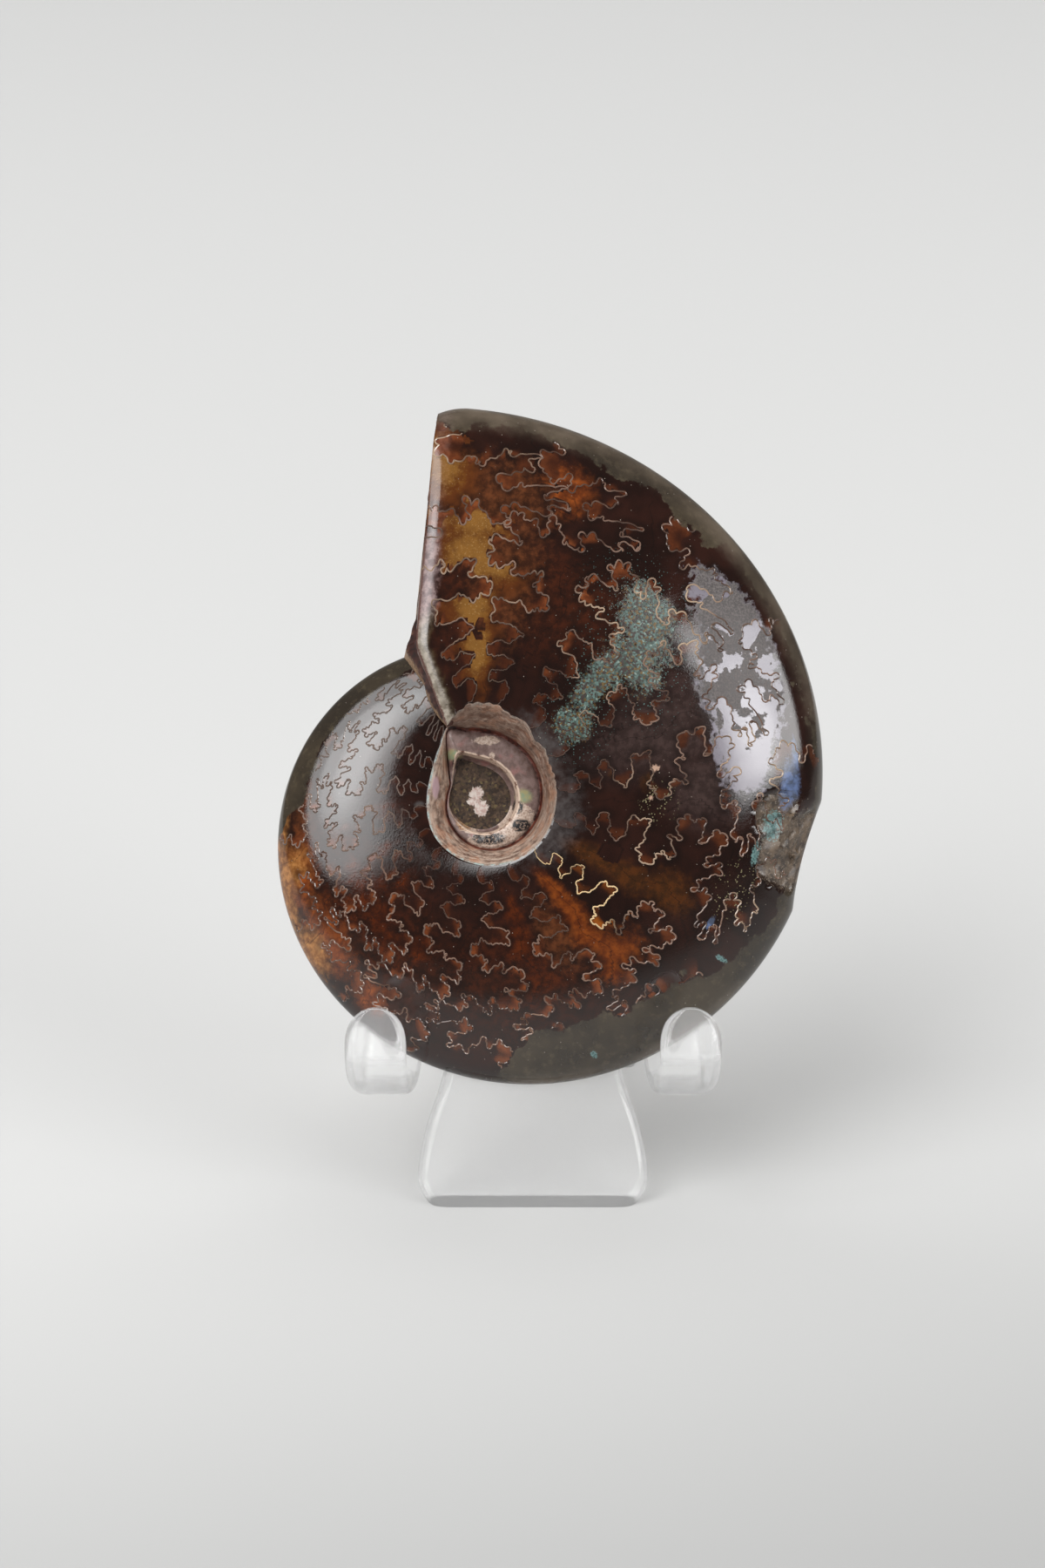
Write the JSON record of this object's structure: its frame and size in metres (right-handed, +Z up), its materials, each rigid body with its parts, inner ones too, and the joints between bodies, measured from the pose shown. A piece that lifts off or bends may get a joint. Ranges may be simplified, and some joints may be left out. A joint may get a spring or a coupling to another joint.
{
  "type": "ammonite fossil half",
  "caption": "Polished half of a coiled ammonite fossil, flat on its sawn side, leaning on a clear folded easel with two upturned hooks.",
  "frame": {"origin": "on the surface that the easel stands on, under the middle of the whole object's box", "axes": "+Z up; -Y is the side that the polished flank faces; +X is to the right for someone looking at the flank"},
  "size_m": [0.06, 0.0496, 0.084],
  "materials": {
    "polished_fossil": "mirror-polished dark brown fossil with fine tan suture lines",
    "clear_acrylic": "clear cast acrylic sheet with flame-polished edges"
  },
  "bodies": {
    "root": {"ammonite_half": "polished_fossil", "acrylic_easel": "clear_acrylic"}
  },
  "joints": []
}
